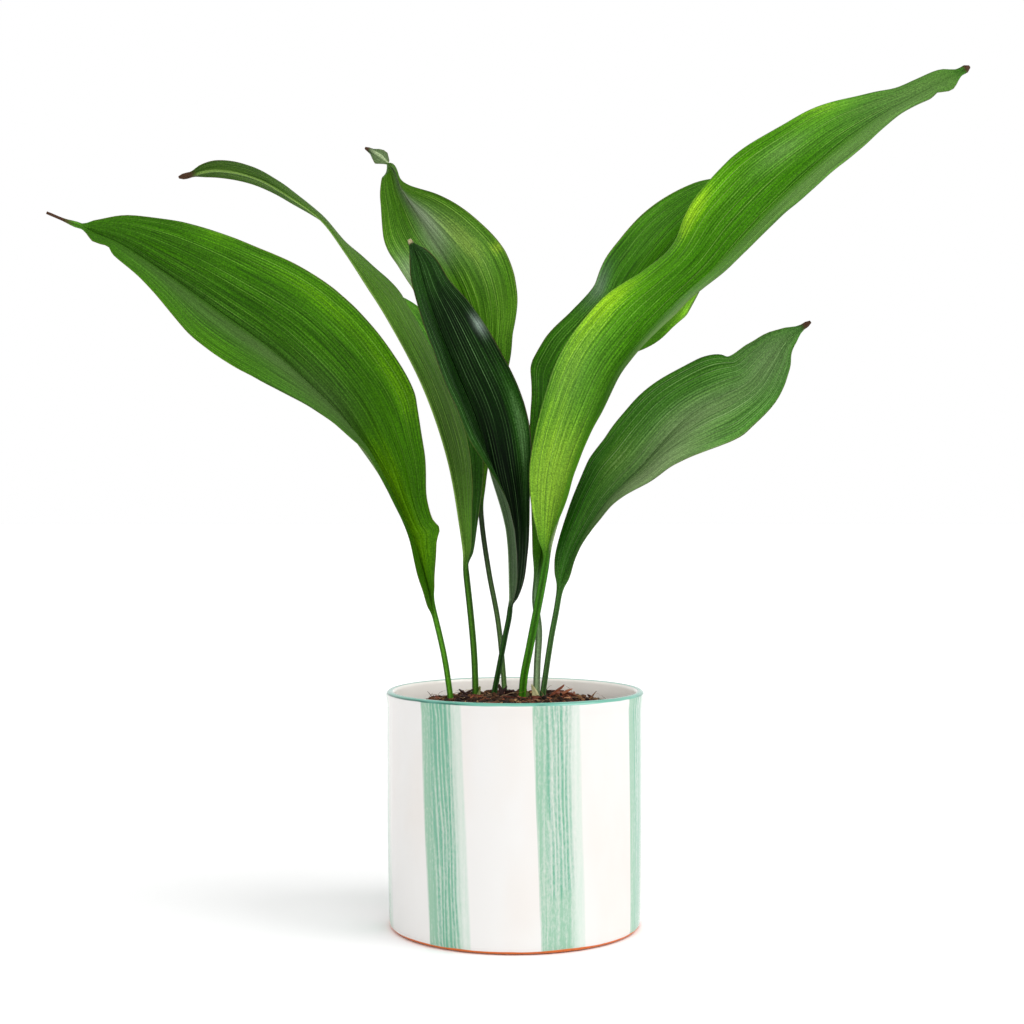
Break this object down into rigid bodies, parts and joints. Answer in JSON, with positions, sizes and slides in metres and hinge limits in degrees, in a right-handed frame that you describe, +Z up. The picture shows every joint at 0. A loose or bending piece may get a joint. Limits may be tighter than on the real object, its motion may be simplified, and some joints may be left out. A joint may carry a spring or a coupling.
{
  "type": "potted cast iron plant",
  "caption": "Cast iron plant with arching, ribbed leaf blades on thin stalks, growing from a mounded mix in a straight-sided glazed pot with brushed green stripes",
  "frame": {"origin": "the centre of the pot's flat base, on the surface it stands on", "axes": "+Z up along the pot's axis, -Y towards the viewer of the plant's broad front, +X to that viewer's right"},
  "size_m": [0.5037, 0.2353, 0.4817],
  "materials": {
    "glazed_clay": "gloss",
    "potting_mix": "matte",
    "rhizome": "matte",
    "leaf": "satin",
    "bark": "matte"
  },
  "bodies": {
    "root": {"pot": "glazed_clay", "potting_mix": "potting_mix", "rhizome": "rhizome", "leaf_low_left": "leaf", "leaf_back_left": "leaf", "leaf_back_centre": "leaf", "leaf_front_centre": "leaf", "leaf_tall_right": "leaf", "leaf_back_right": "leaf", "leaf_low_right": "leaf", "bark_chip_right": "bark", "bark_chip_left": "bark", "bark_chip_middle": "bark", "bark_chip_back": "bark"}
  },
  "joints": []
}
